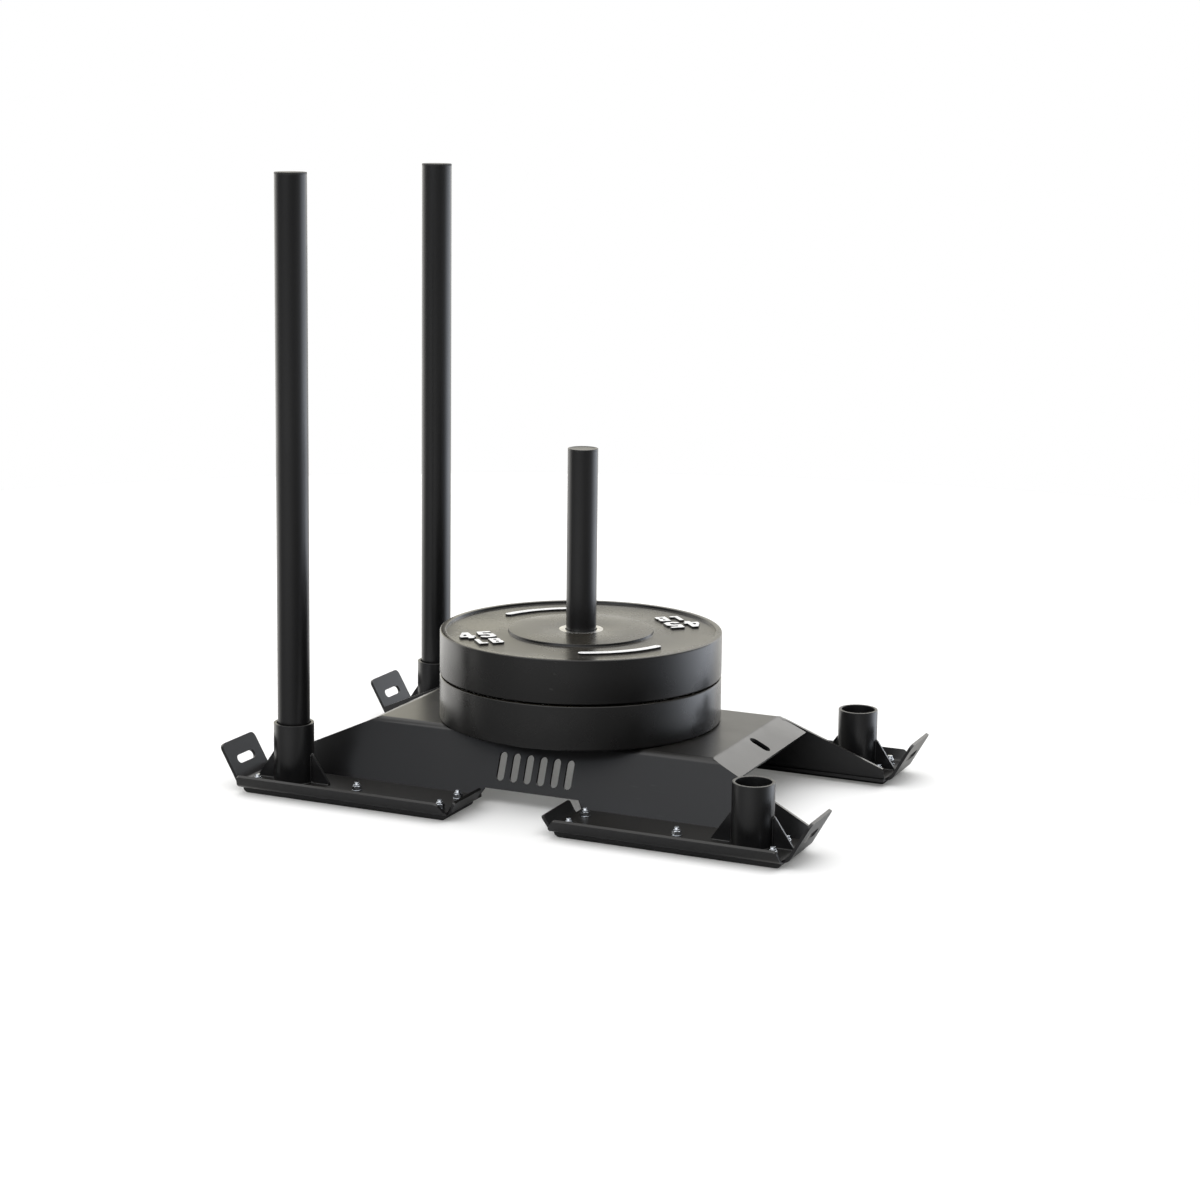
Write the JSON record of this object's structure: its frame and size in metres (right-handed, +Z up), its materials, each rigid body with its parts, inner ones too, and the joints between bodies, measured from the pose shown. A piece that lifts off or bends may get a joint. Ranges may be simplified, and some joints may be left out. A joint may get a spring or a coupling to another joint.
{
  "type": "push and drag sled",
  "caption": "Low black steel sled on skid trays with upright push poles and a central loading pin that carries round rubber weight plates.",
  "frame": {"origin": "centre of the sled on the floor", "axes": "+Z up; X runs along the sled, with the push poles standing at its -X end; +Y across it, so that -Y is the side nearest the camera"},
  "size_m": [0.991, 0.6274, 0.9736],
  "materials": {
    "powder_coat": "satin black powder coat",
    "glide_plastic": "matte black",
    "pole_cap_plastic": "matte black",
    "plate_rubber": "matte black",
    "hub_steel": "bright turned steel",
    "zinc": "bright zinc plate"
  },
  "bodies": {
    "sled": {"deck_hood": "powder_coat", "pin_doubler": "powder_coat", "loading_pin": "powder_coat", "loading_pin_cap": "powder_coat", "skid_tray_far_right": "powder_coat", "glide_pad_far_right": "glide_plastic", "skid_bolt_far_right_1": "zinc", "skid_bolt_far_right_2": "zinc", "skid_bolt_far_right_3": "zinc", "skid_bolt_far_right_4": "zinc", "skid_bolt_far_right_5": "zinc", "pole_socket_far_right": "powder_coat", "outer_gusset_far_right": "powder_coat", "inner_gusset_far_right": "powder_coat", "skid_tray_near_right": "powder_coat", "glide_pad_near_right": "glide_plastic", "skid_bolt_near_right_1": "zinc", "skid_bolt_near_right_2": "zinc", "skid_bolt_near_right_3": "zinc", "skid_bolt_near_right_4": "zinc", "skid_bolt_near_right_5": "zinc", "pole_socket_near_right": "powder_coat", "outer_gusset_near_right": "powder_coat", "inner_gusset_near_right": "powder_coat", "skid_tray_far_left": "powder_coat", "glide_pad_far_left": "glide_plastic", "skid_bolt_far_left_1": "zinc", "skid_bolt_far_left_2": "zinc", "skid_bolt_far_left_3": "zinc", "skid_bolt_far_left_4": "zinc", "skid_bolt_far_left_5": "zinc", "pole_socket_far_left": "powder_coat", "outer_gusset_far_left": "powder_coat", "inner_gusset_far_left": "powder_coat", "skid_tray_near_left": "powder_coat", "glide_pad_near_left": "glide_plastic", "skid_bolt_near_left_1": "zinc", "skid_bolt_near_left_2": "zinc", "skid_bolt_near_left_3": "zinc", "skid_bolt_near_left_4": "zinc", "skid_bolt_near_left_5": "zinc", "pole_socket_near_left": "powder_coat", "outer_gusset_near_left": "powder_coat", "inner_gusset_near_left": "powder_coat"},
    "push_pole_near": {"push_pole_near": "powder_coat", "push_pole_cap_near": "pole_cap_plastic"},
    "push_pole_far": {"push_pole_far": "powder_coat", "push_pole_cap_far": "pole_cap_plastic"},
    "lower_plate": {"lower_plate_rubber": "plate_rubber", "lower_plate_hub": "hub_steel"},
    "upper_plate": {"upper_plate_rubber": "plate_rubber", "upper_plate_hub": "hub_steel"}
  },
  "joints": [
    {"name": "push_pole_near_lift", "type": "slide", "parent": "sled", "child": "push_pole_near", "axis": [0, 0, 1], "range_m": [0, 0.0947]},
    {"name": "push_pole_far_lift", "type": "slide", "parent": "sled", "child": "push_pole_far", "axis": [0, 0, 1], "range_m": [0, 0.0947]},
    {"name": "lower_plate_lift", "type": "slide", "parent": "sled", "child": "lower_plate", "axis": [0, 0, 1], "range_m": [0, 0.361]},
    {"name": "upper_plate_lift", "type": "slide", "parent": "lower_plate", "child": "upper_plate", "axis": [0, 0, 1], "range_m": [0, 0.361]}
  ]
}
